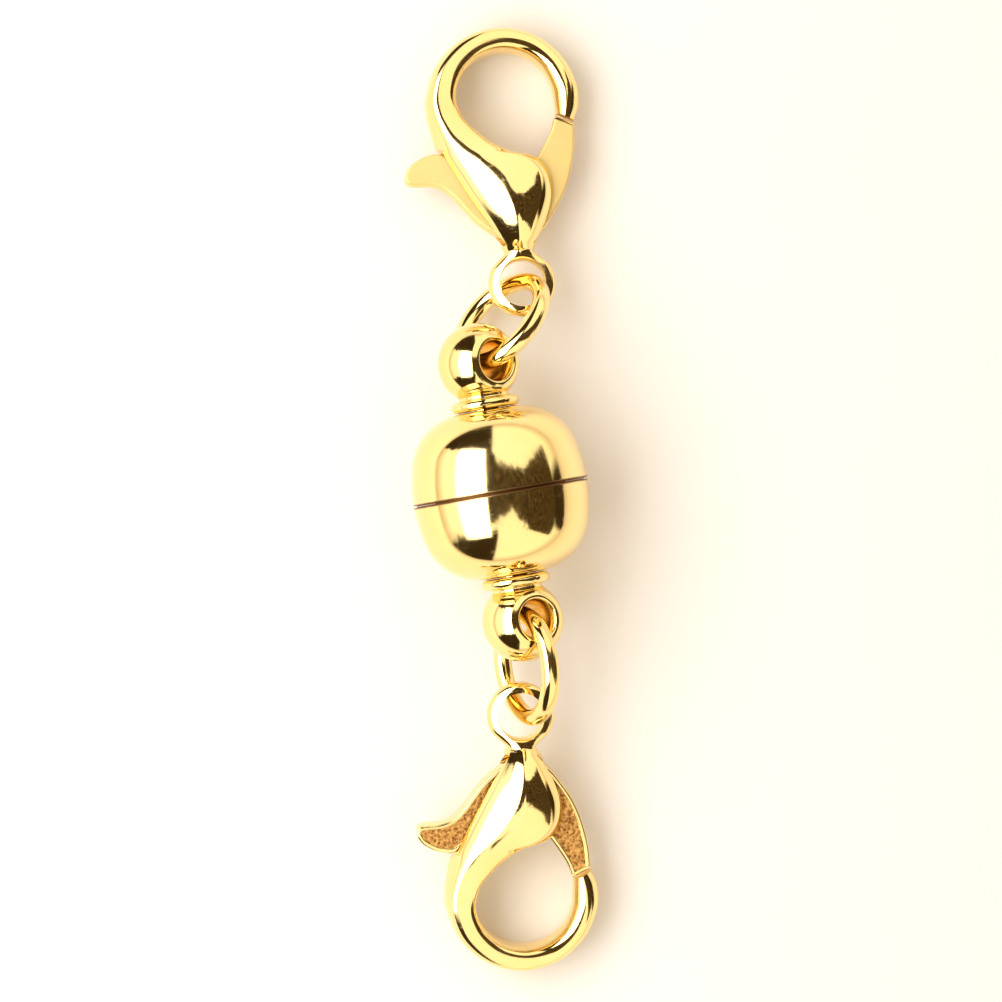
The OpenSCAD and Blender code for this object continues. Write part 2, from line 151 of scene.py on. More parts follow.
def angle(name, default, description):
    """An angle in radians, given here in degrees."""
    return bpy.props.FloatProperty(name=name, description=description, default=float(np.radians(default)),
                                   unit="ROTATION", subtype="ANGLE")


def colour(name, default, description):
    """A linear colour."""
    return bpy.props.FloatVectorProperty(name=name, description=description, default=default,
                                         size=3, min=0, max=1, subtype="COLOR")


def share(name, default, description, high=1.0):
    """A plain number from nought to a limit."""
    return bpy.props.FloatProperty(name=name, description=description, default=default, min=0, max=high)


class BarrelSizes(bpy.types.PropertyGroup):
    """Sizes of the two half barrels and their ball posts"""
    barrel_d: length("Barrel diameter", 8, "Widest diameter, at the seam")
    barrel_len: length("Barrel length", 7.6, "Length between the two collars")
    shoulder_r: length("Shoulder radius", 2.6, "Radius of the rounded shoulders")
    belt_r: length("Belt radius", 7.2, "Radius of the long curve of the belt")
    seam_gap: length("Seam", 0.08, "Width of the seam between the halves")
    seam_edge: length("Seam edge", 0.03, "Radius of the softened edge along the seam")
    groove_depth: length("Groove depth", 0.14, "Depth of the groove along the seam")
    end_wall: length("End wall", 0.7, "Thickness of the wall at each end")
    pocket_r: length("Pocket radius", 3.05, "Radius of the pocket that holds a magnet")
    mouth_r: length("Mouth radius", 3.25, "Radius of the upper half's mouth")
    mouth_depth: length("Mouth depth", 0.42, "Depth of the upper half's mouth")
    magnet_t: length("Magnet thickness", 2, "Thickness of a magnet disc")
    magnet_proud: length("Magnet proud", 0.4, "How far the lower magnet stands out")
    ball_d: length("Ball diameter", 3.7, "Diameter of the drilled ball")
    collar_d: length("Collar diameter", 3.15, "Diameter of the collar on the barrel")
    collar_h: length("Collar height", 0.5, "Height of the collar")
    neck_d: length("Neck diameter", 2.3, "Diameter of the neck under the ball")
    neck_len: length("Neck length", 0.15, "Length of the neck between collar and ball")
    stem_d: length("Stem diameter", 1.6, "Diameter of the riveted stem")
    stem_play: length("Stem play", 0.05, "Gap between the stem and its hole in the end wall")
    rivet_lip: length("Rivet lip", 0.45, "How far the rivet's head stands out past the stem")
    rivet_t: length("Rivet thickness", 0.35, "Thickness of the rivet's head")
    rivet_edge: length("Rivet edge", 0.08, "Bevel round the rivet's head")
    rivet_room: length("Rivet room", 0.75, "How far the hollow round the rivet goes past the stem")
    fillet_r: length("Neck fillet", 0.08, "Radius where the neck meets the collar")
    neck_sink: length("Neck sink", 0.5, "Metal between the neck's hidden end and the cross hole")
    bore_d: length("Bore diameter", 1.5, "Diameter of the ball's cross hole")
    bore_mouth_d: length("Bore mouth", 2.4, "Diameter of the cross hole's flared mouths")
    bore_rise_upper: angle("Upper bore rise", 52, "Rise of the upper ball's cross hole from the table")
    bore_rise_lower: angle("Lower bore rise", 60, "Rise of the lower ball's cross hole from the table")


class RingSizes(bpy.types.PropertyGroup):
    """Sizes and places of the two jump rings"""
    ring_d: length("Ring diameter", 5.5, "Outside diameter of a jump ring")
    wire_d: length("Wire diameter", 0.82, "Diameter of the round wire")
    lean_upper: angle("Upper lean", 56, "Angle at which the upper ring's plane leans up")
    lean_lower: angle("Lower lean", 62, "Angle at which the lower ring's plane leans up")
    shift_upper: length("Upper shift", 0, "Ring's middle off the line from ball to eye, upper")
    shift_lower: length("Lower shift", 0.45, "Ring's middle off the line from ball to eye, lower")
    in_ball_upper: length("Upper wire in ball", 0.04, "Wire's place in the upper ball's hole")
    in_ball_lower: length("Lower wire in ball", -0.3, "Wire's place in the lower ball's hole")
    joint_gap: length("Joint gap", 0.03, "Gap between the wire's two ends")
    joint_turn: angle("Joint place", 200, "Place of the wire's joint round the ring")


class ClawSizes(bpy.types.PropertyGroup):
    """Sizes of the lobster claws and their levers"""
    claw_len: length("Claw length", 8.3, "From the middle of the eye to the middle of the hook")
    hook_d: length("Hook diameter", 7.15, "Outside diameter of the hook")
    hook_hole_d: length("Hook opening", 4.4, "Diameter of the opening in the hook")
    belly_t: length("Belly thickness", 3.5, "Thickness of the claw at its belly")
    eye_d: length("Eye diameter", 3.1, "Outside diameter of the eye")
    eye_hole_d: length("Eye hole", 2.05, "Diameter of the eye's hole")
    eye_t: length("Eye thickness", 1, "Thickness of the eye")
    lever_t: length("Lever thickness", 1.1, "Thickness of the flat lever")
    lever_play: length("Lever play", 0.1, "Gap between the lever and each cheek")
    lever_edge: length("Lever edge", 0.09, "Radius of the lever's rounded edges")
    rim_w: length("Rim width", 0.16, "Width of the smooth rim round the grained face")
    rim_h: length("Rim height", 0.06, "Height of the rim over the grained face")
    tip_gap: length("Tip gap", 0.12, "Gap between the lever's end and the hook's tip")


class FinishColours(bpy.types.PropertyGroup):
    """Colours and finish of the metal"""
    gold: colour("Gold plate", (1.0, 0.79, 0.36), "Colour of the polished gold plate")
    gold_deep: colour("Deep gold", (0.98, 0.62, 0.16), "Colour of thicker plate in hollows and seams")
    cast: colour("Cast face", (0.9, 0.5, 0.15), "Colour of the lever's grained face")
    grain_dark: colour("Grain hollows", (0.3, 0.11, 0.025), "Colour in the hollows of the cast grain")
    # Painted reflection: hollow is the deeper orange painted down in the balls' bores in place of the gold's
    # reflections of itself there
    hollow: colour("Hollows", (1.0, 0.66, 0.18), "Colour of the plate down in the bores")
    # Painted shade: the dark brown painted along the barrel's seam and on the magnets' rims, in place of the shade
    # down in the seam's gap
    seam: colour("Seam", (0.2, 0.09, 0.03), "Colour of the worn line along the seam")
    nickel: colour("Nickel", (0.6, 0.6, 0.62), "Colour of the magnets' plating")
    steel: colour("Steel", (0.45, 0.44, 0.43), "Colour of the pivot pins")
    polish: share("Roughness of the polish", 0.07, "Roughness of the mirror polish")
    satin_upper: share("Satin, upper lever", 0.5, "Extra roughness of the upper lever")
    satin_lower: share("Satin, lower lever", 0.05, "Extra roughness of the lower lever")
    grain_depth: share("Grain depth", 0.6, "Strength of the cast grain on the lever")


class StudioSettings(bpy.types.PropertyGroup):
    """Floor, light and camera"""
    floor: colour("Floor", (0.94, 0.92, 0.88), "Colour of the pale floor")
    room_left: colour("Room, left", (1.0, 0.98, 0.92), "Pale walls towards the soft box")
    room_right: colour("Room, right", (0.98, 0.9, 0.72), "Warm walls away from the soft box")
    room_low: colour("Room, low", (0.62, 0.52, 0.4), "Foot of the walls, where they meet the floor")
    room_dark: colour("Room, dark", (0.03, 0.019, 0.0075), "Dark opening overhead that the metal mirrors")
    room_fill: colour("Room, fill", (1.0, 0.86, 0.72), "Colour of the even light on the floor")
    backdrop: colour("Backdrop", (0.95, 0.93, 0.9), "Pale backdrop behind the floor")
    room_level: share("Room level", 1.35, "Brightness of the walls that the metal mirrors", 10)
    fill_level: share("Fill level", 0.84, "Brightness of the even light on the floor", 10)
    key_level: share("Soft box level", 2.8, "Brightness of the soft box's face", 20)
    key_tilt: angle("Soft box tilt", 37, "Angle of the soft box from the zenith, to the left")
    key_distance: length("Soft box distance", 120, "Distance of the soft box from the clasp")
    key_width: length("Soft box width", 87.5, "Size of the soft box from left to right")
    key_length: length("Soft box length", 168, "Size of the soft box along the clasp")
    card_height: length("Card height", 100, "Height of the dark card over the floor")
    aim_across: length("Aim across", -0.0435, "How far to the right of the barrel's middle the camera aims")
    aim_along: length("Aim along", -0.3845, "How far past the barrel's middle the camera aims")
    roll: angle("Camera roll", 9.8, "Turn of the camera about its own axis")
    field: length("Field", 45.5, "Width of the picture at the clasp")


GROUPS = {"clasp_barrel": BarrelSizes, "clasp_ring": RingSizes, "clasp_claw": ClawSizes,
          "clasp_finish": FinishColours, "clasp_studio": StudioSettings}


def settings(group):
    """The values of one property group of the scene."""
    return getattr(bpy.context.scene, group)


# Curves and surfaces

def unit(v):
    """Vector of length one that points the same way."""
    return v / np.linalg.norm(v)


def smooth_rows(rows, steps):
    """Smooth open curve through the rows: between two rows it is the Catmull-Rom cubic of the pair
    and its outer neighbours, the end rows counted twice, at steps equal shares of each span."""
    rows = np.asarray(rows, float)
    last = len(rows) - 1
    k = np.arange(last * steps + 1)
    i = np.minimum(k // steps, last - 1)
    t = (k / steps - i)[:, None]
    a, b, c, d = rows[np.maximum(i - 1, 0)], rows[i], rows[i + 1], rows[np.minimum(i + 2, last)]
    return 0.5 * (2 * b + (c - a) * t + (2 * a - 5 * b + 4 * c - d) * t**2 + (3 * b - a - 3 * c + d) * t**3)


def arc(middle, radius, start, end, count):
    """Points on a circle's arc: middle plus radius times cosine and sine of evenly spaced angles."""
    turn = np.radians(np.linspace(start, end, count))
    return np.asarray(middle) + radius * np.stack([np.cos(turn), np.sin(turn)], 1)


def sheet_faces(rows, cols, close_rows, close_cols):
    """Corner numbers of the four-sided faces of a grid, joined round where it closes."""
    i, j = np.meshgrid(np.arange(rows if close_rows else rows - 1), np.arange(cols if close_cols else cols - 1),
                       indexing="ij")
    i, j = i.ravel(), j.ravel()
    i2, j2 = (i + 1) % rows, (j + 1) % cols
    return np.stack([i * cols + j, i * cols + j2, i2 * cols + j2, i2 * cols + j], 1)


def make_piece(name, sheets, caps=(), sharp=None, marks=None):
    """One mesh object from grids of points. Each grid is (points, closes round rows, closes round
    columns), and each cap is a list of point numbers. Edges over sharp degrees stay sharp, and marks
    gives every point a value."""
    points, faces, start = [], [], 0
    for grid, close_rows, close_cols in sheets:
        rows, cols = grid.shape[:2]
        points.append(grid.reshape(-1, 3))
        faces += (sheet_faces(rows, cols, close_rows, close_cols) + start).tolist()
        start += rows * cols
    faces += [list(map(int, cap)) for cap in caps]
    mesh = bpy.data.meshes.new(name)
    mesh.from_pydata(np.concatenate(points).tolist(), [], faces)
    mesh.validate()
    mesh.shade_smooth()
    if sharp:
        mesh.set_sharp_from_angle(angle=np.radians(sharp))
    if marks is not None:
        layer = mesh.attributes.new("marks", "FLOAT", "POINT")
        layer.data.foreach_set("value", np.asarray(marks, np.float32))
    piece = bpy.data.objects.new(name, mesh)
    bpy.context.scene.collection.objects.link(piece)
    return piece


def end_caps(grid, start=0):
    """Point numbers of a grid's first and last row, as two caps; start is the grid's first point."""
    rows, cols = grid.shape[:2]
    return [start + np.arange(cols)[::-1], start + (rows - 1) * cols + np.arange(cols)]


def outwards(piece):
    """Turns every face of a closed mesh to point outwards: the signed volume of its cones from the
    origin, the sum of corner-one dot corner-two cross corner-three over six, has to be positive."""
    mesh = piece.data
    mesh.calc_loop_triangles()
    corners = np.empty(len(mesh.loop_triangles) * 3, np.int32)
    mesh.loop_triangles.foreach_get("vertices", corners)
    co = np.empty(len(mesh.vertices) * 3)
    mesh.vertices.foreach_get("co", co)
    a, b, c = np.moveaxis(co.reshape(-1, 3)[corners.reshape(-1, 3)], 1, 0)
    if np.einsum("ij,ij->i", a, np.cross(b, c)).sum() < 0:
        mesh.flip_normals()
    return piece


def turned_profile(profile, count, place):
    """Surface of revolution: each profile point (radius, height) goes round the local Z axis at
    count even angles, x = radius cos, y = radius sin, z = height; then it is put in its place."""
    turn = 2 * np.pi * np.arange(count) / count
    radius, height = profile[:, 0][:, None], profile[:, 1][:, None]
    grid = np.stack([radius * np.cos(turn), radius * np.sin(turn), height + 0 * turn], 2)
    return put(grid, place)


def put(points, place):
    """Points through a place, which is (middle, 3x3 matrix with the local axes as its columns)."""
    middle, axes = place
    return points @ np.asarray(axes).T + np.asarray(middle)


# Places that the frame gives

def barrel_middle():
    """Middle of the barrel: halfway between the far ends of the two half barrels."""
    low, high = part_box("shell_lower"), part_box("shell_upper")
    return (np.array(low[0]) + np.array(high[1])) / 2


def axis_place(side):
    """Local Z runs along the barrel's axis away from the seam, and local X stays the frame's X."""
    return barrel_middle(), np.array([[1, 0, 0], [0, 0, side], [0, -side, 0]], float)


def claw_place(side):
    """Local X towards the gate, Y towards the hook, Z off the smooth face. The lever's hinge gives
    the middle of the pivot and the Z axis, and the hook's mount gives a second point of the plane."""
    claw = settings("clasp_claw")
    joint = next(j for j in frame["joints"] if j["name"] == "lever_" + SIDES[side])
    mount = next(m for m in frame["record"]["mounts"] if m["name"] == SIDES[side] + "_hook")
    hinge, z = np.array(joint["pos_m"]), unit(np.array(joint["axis"]))
    local = hook_hole_middle(claw) - pivot_middle(claw)
    along = unit(np.array(mount["pos_m"]) - hinge)
    along = unit(along - z * (along @ z))
    turn = np.arctan2(local[0], local[1])
    y = np.cos(turn) * along - np.sin(turn) * np.cross(along, z)
    x = np.cross(y, z)
    axes = np.stack([x, y, z], 1)
    return hinge - axes @ np.append(pivot_middle(claw), 0), axes


def pivot_middle(claw):
    """Middle of the lever's pivot in the claw's plane."""
    return np.array([0.04 * claw.hook_d / 2, 0.34 * claw.claw_len])


def hook_middle(claw):
    """Middle of the hook's outer circle in the claw's plane."""
    return np.array([-0.014 * claw.hook_d / 2, claw.claw_len])


def hook_hole_middle(claw):
    """Middle of the hook's opening in the claw's plane."""
    return np.array([0.023 * claw.hook_hole_d / 2, claw.claw_len + 0.09 * claw.hook_hole_d / 2])


def ball_middle(side):
    """Middle of a ball: past the collar and the neck by the height at which the neck meets it."""
    b = settings("clasp_barrel")
    neck_top = b.barrel_len / 2 + SEAT + b.collar_h + b.neck_len
    along = neck_top + np.sqrt((b.ball_d / 2)**2 - (b.neck_d / 2)**2)
    return barrel_middle() + np.array([0, side * along, 0])


# Shader expressions

class Flow:
    """A node's output that can be used in arithmetic; each operation adds one Math node."""

    def __init__(self, paint, socket):
        self.paint, self.socket = paint, socket

    def _with(self, operation, *values):
        return self.paint.node("ShaderNodeMath", {"operation": operation}, dict(enumerate(values)))

    def __add__(self, other):
        return self._with("ADD", self, other)

    __radd__ = __add__

    def __sub__(self, other):
        return self._with("SUBTRACT", self, other)

    def __rsub__(self, other):
        return self._with("SUBTRACT", other, self)

    def __mul__(self, other):
        return self._with("MULTIPLY", self, other)

    __rmul__ = __mul__

    def __truediv__(self, other):
        return self._with("DIVIDE", self, other)

    def __pow__(self, other):
        return self._with("POWER", self, other)

    def __abs__(self):
        return self._with("ABSOLUTE", self)

    def larger(self, other):
        return self._with("MAXIMUM", self, other)


class Paint:
    """A material, or the room round the clasp, and its nodes."""

    def __init__(self, name, store=None):
        self.made = (bpy.data.materials if store is None else store).new(name)
        self.made.use_nodes = True
        self.tree = self.made.node_tree
        self.tree.nodes.clear()

    def node(self, kind, choices, values, output=0):
        """Adds a node of a kind, sets its choices, gives its sockets values or links, and returns
        one of its outputs."""
        made = self.tree.nodes.new(kind)
        for name, value in choices.items():
            setattr(made, name, value)
        for name, value in values.items():
            socket = made.inputs[name]
            if isinstance(value, Flow):
                self.tree.links.new(value.socket, socket)
            else:
                socket.default_value = value
        return Flow(self, made.outputs[output])

    def blend(self, factor, first, second):
        """Mix of two colours."""
        first, second = (v if isinstance(v, Flow) else (*tuple(v)[:3], 1) for v in (first, second))
        return self.node("ShaderNodeMix", {"data_type": "RGBA"}, {0: factor, 6: first, 7: second}, output=2)

    def stretch(self, value, low, high, to_low=0.0, to_high=1.0):
        """Value carried from one range to another and kept within it."""
        return self.node("ShaderNodeMapRange", {"clamp": True},
                         {0: value, 1: low, 2: high, 3: to_low, 4: to_high})

    def edge(self, value, soft=0.02):
        """One where the value is over nought, nought where it is under, with a soft change between."""
        return self.stretch(value, -soft, soft)

    def place(self, scale=(1, 1, 1), turn=(0, 0, 0), source="Object"):
        """Object coordinates, or a ray's direction in the room, through a Mapping node."""
        where = self.node("ShaderNodeTexCoord", {}, {}, output=source)
        return self.node("ShaderNodeMapping", {}, {"Vector": where, "Rotation": turn, "Scale": scale})

    def parts(self, where):
        """The three coordinates of a place."""
        return [self.node("ShaderNodeSeparateXYZ", {}, {0: where}, output=k) for k in range(3)]

    def round_barrel(self, where):
        """Place along the barrel's axis, from its middle, and distance from that axis."""
        x, y, z = (part - float(middle) for part, middle in zip(self.parts(where), barrel_middle()))
        return y, (x * x + z * z)**0.5

    def noise(self, where, scale, detail=2.0, rough=0.5):
        """Cloudy noise from nought to one."""
        return self.node("ShaderNodeTexNoise", {}, {"Vector": where, "Scale": scale, "Detail": detail,
                                                   "Roughness": rough})

    def bump(self, height, distance, strength, under=None):
        """Normal bent by a height; under is the normal that it starts from."""
        values = {"Height": height, "Distance": distance, "Strength": strength}
        if under is not None:
            values["Normal"] = under
        return self.node("ShaderNodeBump", {}, values)

    def metal(self, base, rough, normal):
        """Closes the material with a metallic surface."""
        surface = self.node("ShaderNodeBsdfPrincipled", {}, {
            "Base Color": base, "Metallic": 1.0, "Roughness": rough, "Normal": normal})
        return self.close(surface)

    def close(self, surface, kind="ShaderNodeOutputMaterial"):
        """Links the last surface to the output and returns what was made."""
        end = self.tree.nodes.new(kind)
        self.tree.links.new(surface.socket, end.inputs["Surface"])
        return self.made


def polished_gold(name, waviness, scratch_turn, satin=0.0, seam=False, marked=None):
    """Gold plate: slow waves of the casting under the polish, hair scratches that run one way, a few
    duller spots, and a deeper colour where the plate is thicker. Satin adds to the roughness; seam
    paints a thin brown line of shade along the barrel's seam; marked names what the attribute marks
    shows: the cast grain of a lever's face, or a painted reflection of deeper orange, with duller plate, down in a
    bore."""
    finish = settings("clasp_finish")
    paint = Paint(name)
    where = paint.place()
    waves = paint.noise(where, 420, 1.5, 0.4)
    ripples = paint.noise(where, 1500, 2.0, 0.5)
    hairs = paint.noise(paint.place(scale=(1, 14, 14), turn=(0.2, 0.3, scratch_turn)), 900, 3.0, 0.6)
    crossing = paint.noise(paint.place(scale=(16, 1, 12), turn=(0.1, -0.2, scratch_turn)), 700, 2.0, 0.6)
    spots = paint.stretch(paint.noise(where, 2600, 3.0, 0.6), 0.62, 0.72)
    scratches = paint.stretch(hairs, 0.56, 0.66) * 0.6 + paint.stretch(crossing, 0.6, 0.68) * 0.4
    rough = finish.polish + satin + 0.06 * paint.stretch(waves, 0.45, 0.7) + 0.1 * scratches + 0.08 * spots
    tone = paint.stretch(paint.noise(where, 260, 3.0, 0.55), 0.35, 0.7)
    base = paint.blend(0.35 * tone, finish.gold, finish.gold_deep)
    normal = paint.bump(waves, waviness * MM, 0.5)
    normal = paint.bump(ripples + 0.25 * scratches, 0.0006 * MM, 0.5, under=normal)
    if seam:
        # Painted shade: a thin brown band on the outer metal either side of the seam stands in for the shade in
        # the seam's gap; it is also rougher
        along, off_axis = paint.round_barrel(where)
        wander = 0.05 * MM * (paint.noise(where, 1300, 3.0, 0.6) - 0.5)
        face = settings("clasp_barrel").barrel_d / 2 - 0.2 * MM
        shaded = paint.edge(0.11 * MM - abs(along + wander), 0.03 * MM)
        shaded = shaded * paint.edge(off_axis - face, 0.04 * MM)
        base = paint.blend(shaded, base, finish.seam)
        rough = rough + 0.3 * shaded
    if marked:
        marks = paint.node("ShaderNodeAttribute", {"attribute_name": "marks"}, {}, output="Fac")
    # Painted reflection: down in a bore the colour goes over to the deeper orange of the hollow colour, standing
    # in for the gold's reflections of itself; the plate there is also rougher
    if marked == "hollow":
        rough = rough + 0.2 * marks
        base = paint.blend(marks, base, finish.hollow)
    if marked == "grain":
        coarse = paint.noise(where, 4800, 4.0, 0.7)
        fine = paint.noise(where, 12000, 3.0, 0.6)
        cells = paint.node("ShaderNodeTexVoronoi", {}, {"Vector": where, "Scale": 7000})
        grain = coarse * 0.6 + fine * 0.25 + cells * 0.3
        rough = rough + 0.34 * marks
        face = paint.blend(paint.stretch(grain, 0.7, 0.46), finish.cast, finish.grain_dark)
        base = paint.blend(marks, base, face)
        normal = paint.bump(grain * marks, 0.1 * MM, finish.grain_depth, under=normal)
    return paint.metal(base, rough, normal)


def plain_metal(name, base, rough, mark_scale, rim=None):
    """Plain plated or turned metal with fine turning marks and faint stains. What lies further than
    rim from the barrel's axis is painted the seam's dark brown, a painted shade, and is rougher."""
    paint = Paint(name)
    where = paint.place()
    marks = paint.noise(paint.place(scale=(1, 6, 1)), mark_scale, 3.0, 0.6)
    stains = paint.stretch(paint.noise(where, 600, 3.0, 0.5), 0.4, 0.7)
    tone = paint.blend(0.3 * stains, base, tuple(0.7 * v for v in base))
    rough = rough + 0.15 * paint.stretch(marks, 0.4, 0.7)
    if rim:
        # Painted shade: the magnet's rim, seen down the seam's gap, is painted dark brown in place of the shade
        # there
        rim_shade = paint.edge(paint.round_barrel(where)[1] - rim, 0.02 * MM)
        tone = paint.blend(rim_shade, tone, settings("clasp_finish").seam)
        rough = rough + 0.3 * rim_shade
    return paint.metal(tone, rough, paint.bump(marks, 0.003 * MM, 0.5))


def finish_piece(piece, material, body, slot, *nodes):
    """Gives a finished piece its material, its body and the CAD nodes it stands for; slot is not used."""
    piece.data.materials.clear()
    piece.data.materials.append(material)
    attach(piece, body)
    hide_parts(*nodes)
    return piece


# Shapes of the pieces

def shell_profile(side):
    """Closed outline of a half barrel as (radius, height above the middle): up the belt's arc from a
    softened seam edge, round the shoulder's arc, across the end to the stem's hole, down inside it,
    out over the rear wall, down the pocket, out over the mouth's step, and over a flat lip that all
    but touches the other half's lip to the floor of the seam's groove."""
    b = settings("clasp_barrel")
    r, half = b.barrel_d / 2, b.barrel_len / 2
    shoulder_y = half - b.shoulder_r
    shoulder_x = r - b.belt_r + np.sqrt((b.belt_r - b.shoulder_r)**2 - shoulder_y**2)
    touch = np.degrees(np.arcsin(shoulder_y / (b.belt_r - b.shoulder_r)))
    seam = b.seam_gap / 2
    start = np.degrees(np.arcsin((seam + b.seam_edge) / b.belt_r))
    edge = arc([r - b.seam_edge, seam + b.seam_edge], b.seam_edge, -90, 0, 8)
    belt = arc([r - b.belt_r, 0], b.belt_r, start, touch, 24)
    shoulder = arc([shoulder_x, shoulder_y], b.shoulder_r, touch, 90, 56)[1:]
    hole = b.stem_d / 2 + b.stem_play
    rear_r = b.stem_d / 2 + b.rivet_room
    rear_y = half - b.end_wall
    lower = side == LOWER
    pocket_end = seam + (b.magnet_t - b.magnet_proud if lower else b.mouth_depth + b.magnet_t) + SEAT
    inner = [[hole, half], [hole, rear_y], [rear_r, rear_y], [rear_r, pocket_end], [b.pocket_r, pocket_end]]
    lip, groove = 0.1 * b.seam_gap, r - b.groove_depth
    if lower:
        inner += [[b.pocket_r, lip]]
    else:
        inner += [[b.pocket_r, seam + b.mouth_depth], [b.mouth_r, seam + b.mouth_depth], [b.mouth_r, lip]]
    inner += [[groove, lip], [groove, seam]]
    return np.concatenate([edge, belt, shoulder, np.array(inner)])


def half_barrel(side):
    """The shell's outline carried round the barrel's axis."""
    grid = turned_profile(shell_profile(side), 240, axis_place(side))
    return outwards(make_piece(f"half_barrel_{SIDES[side]}", [(grid, True, True)], sharp=32))


def drilled_ball_profile():
    """Closed outline of a drilled ball round its hole's axis, as (radius, height): down the bore,
    out round a curved mouth onto the ball's arc, over it, and back in at the other mouth."""
    b = settings("clasp_barrel")
    bore, mouth, ball = b.bore_d / 2, b.bore_mouth_d / 2, b.ball_d / 2
    reach = np.sqrt(ball**2 - mouth**2)
    low = 0.42 * reach
    top = np.array([[bore, low], [bore + 0.02 * (mouth - bore), 0.62 * reach],
                    [bore + 0.24 * (mouth - bore), 0.86 * reach], [bore + 0.62 * (mouth - bore), 1.0 * reach]])
    limit = np.degrees(np.arctan2(reach, mouth)) - 5
    over = arc([0, 0], ball, limit, -limit, 90)
    flare = smooth_rows(np.concatenate([top, over[:1], over[1:2]]), 8)[:-8]
    bottom = flare[::-1] * [1, -1]
    return np.concatenate([flare, over[1:-1], bottom])


def ball_post(side):
    """A drilled ball turned about its own hole, and the neck, collar, stem and rivet head turned
    about the barrel's axis; the neck ends inside the ball's metal, clear of the hole."""
    b = settings("clasp_barrel")
    rise = b.bore_rise_upper if side == UPPER else b.bore_rise_lower
    z = np.array([np.cos(rise), 0, np.sin(rise)])
    y = np.array([0.0, 1, 0])
    axes = np.stack([np.cross(y, z), y, z], 1)
    profile = drilled_ball_profile()
    ball = turned_profile(profile, 160, (ball_middle(side), axes))
    half = b.barrel_len / 2
    collar_y, rear = half + SEAT, half - b.end_wall - SEAT
    top = collar_y + b.collar_h
    edge = b.collar_h / 2
    stem, rivet, head = b.stem_d / 2, b.stem_d / 2 + b.rivet_lip, rear - b.rivet_t
    neck = b.neck_d / 2
    ball_y = top + b.neck_len + np.sqrt((b.ball_d / 2)**2 - neck**2)
    sink = ball_y - b.bore_d / 2 - b.neck_sink
    rim = arc([b.collar_d / 2 - edge, collar_y + edge], edge, -90, 90, 28)
    fillet = arc([neck + b.fillet_r, top + b.fillet_r], b.fillet_r, 270, 180, 6)
    tiny = 1e-6
    outline = np.concatenate([
        [[tiny, head], [rivet - b.rivet_edge, head], [rivet, head + b.rivet_edge], [rivet, rear],
         [stem, rear], [stem, collar_y]], rim, fillet, [[neck, sink], [tiny, sink]]])
    post = turned_profile(outline, 128, axis_place(side))
    caps = end_caps(post, ball.shape[0] * ball.shape[1])
    # Marks: how far down a ball's bore each point lies, where the painted reflection of deeper orange goes
    mouth = 0.8 * b.bore_mouth_d
    bore_reflection = np.clip((mouth / 2 - profile[:, 0]) / (mouth - b.bore_d) * 2, 0, 1)
    marks = np.concatenate([np.repeat(bore_reflection, ball.shape[1]), np.zeros(post.shape[0] * post.shape[1])])
    sheets = [(ball, True, True), (post, False, True)]
    return outwards(make_piece(f"ball_post_{SIDES[side]}_piece", sheets, caps, sharp=35, marks=marks))


def ring_frame(side):
    """Middle and axes of a jump ring. It runs from the ball's middle towards the claw's eye; its
    plane holds that line and one that leans up from the level; Z is its own axis."""
    r = settings("clasp_ring")
    ball, eye = ball_middle(side), claw_place(side)[0]
    upper = side == UPPER
    lean, shift, inside = ((r.lean_upper, r.shift_upper, r.in_ball_upper) if upper
                           else (r.lean_lower, r.shift_lower, r.in_ball_lower))
    along = unit(eye - ball)
    level = unit(np.array([side * along[1], -side * along[0], 0]))
    up = np.cross(along, level)
    up = up if up[2] > 0 else -up
    across = np.cos(lean) * level + np.sin(lean) * up
    mean = (r.ring_d - r.wire_d) / 2
    middle = ball + (np.sqrt(mean**2 - shift**2) + inside) * along + shift * across
    return middle, np.stack([along, across, np.cross(along, across)], 1), mean


def jump_ring(side):
    """Round wire carried round a circle: the ring's angle runs from one end of the wire to the
    other, and the wire's radius draws in over a last short stretch at each end, so both ends are
    softly cut and meet at a fine joint."""
    r = settings("clasp_ring")
    middle, axes, mean = ring_frame(side)
    half_gap = r.joint_gap / 2 / mean
    soft = 0.04 * MM / mean
    turn = np.linspace(half_gap, 2 * np.pi - half_gap, 260)
    ends = half_gap + soft * np.array([0, 0.13, 0.5, 1])
    turn = np.concatenate([ends, turn[3:-3], 2 * np.pi - ends[::-1]])
    draw = np.ones(len(turn))
    draw[:4] = [0.9, 0.95, 0.985, 1]
    draw[-4:] = draw[:4][::-1]
    turn = turn + r.joint_turn
    wire = 2 * np.pi * np.arange(48) / 48
    radius = r.wire_d / 2 * draw[:, None]
    out = mean + radius * np.cos(wire)
    grid = np.stack([out * np.cos(turn)[:, None], out * np.sin(turn)[:, None],
                     radius * np.sin(wire) + 0 * out], 2)
    sheets = [(put(grid, (middle, axes)), False, True)]
    return outwards(make_piece(f"ring_{SIDES[side]}", sheets, end_caps(grid), sharp=50))


